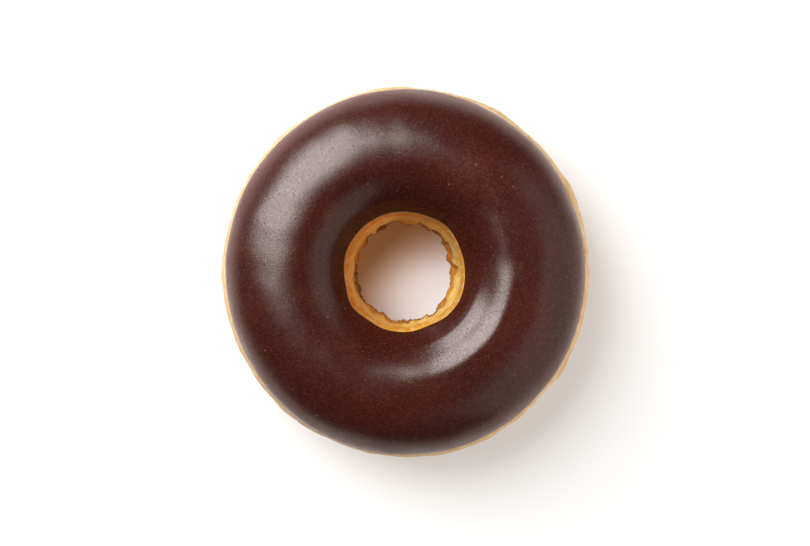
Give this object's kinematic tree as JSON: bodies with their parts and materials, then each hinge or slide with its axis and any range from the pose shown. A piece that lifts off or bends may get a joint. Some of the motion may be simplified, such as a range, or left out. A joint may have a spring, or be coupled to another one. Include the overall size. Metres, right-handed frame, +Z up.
{
  "type": "ring doughnut",
  "caption": "Ring doughnut of fried yeast dough with a round hole through it and a set coat of chocolate glaze over its upper half.",
  "frame": {"origin": "below the middle of the ring, on the surface that its flat underside rests on", "axes": "+Z up through the hole, out of the glazed side; the ring lies in the XY plane and is nearly round, so +X is any direction across it, here the one the hole is 0.4 mm short of"},
  "size_m": [0.0916, 0.0924, 0.0318],
  "materials": {
    "fried_dough": "soft matte fried crust, golden brown with a paler band round the waist",
    "chocolate_glaze": "set dark chocolate glaze with a satin shine"
  },
  "bodies": {
    "root": {"dough_ring": "fried_dough", "chocolate_glaze": "chocolate_glaze"}
  },
  "joints": []
}
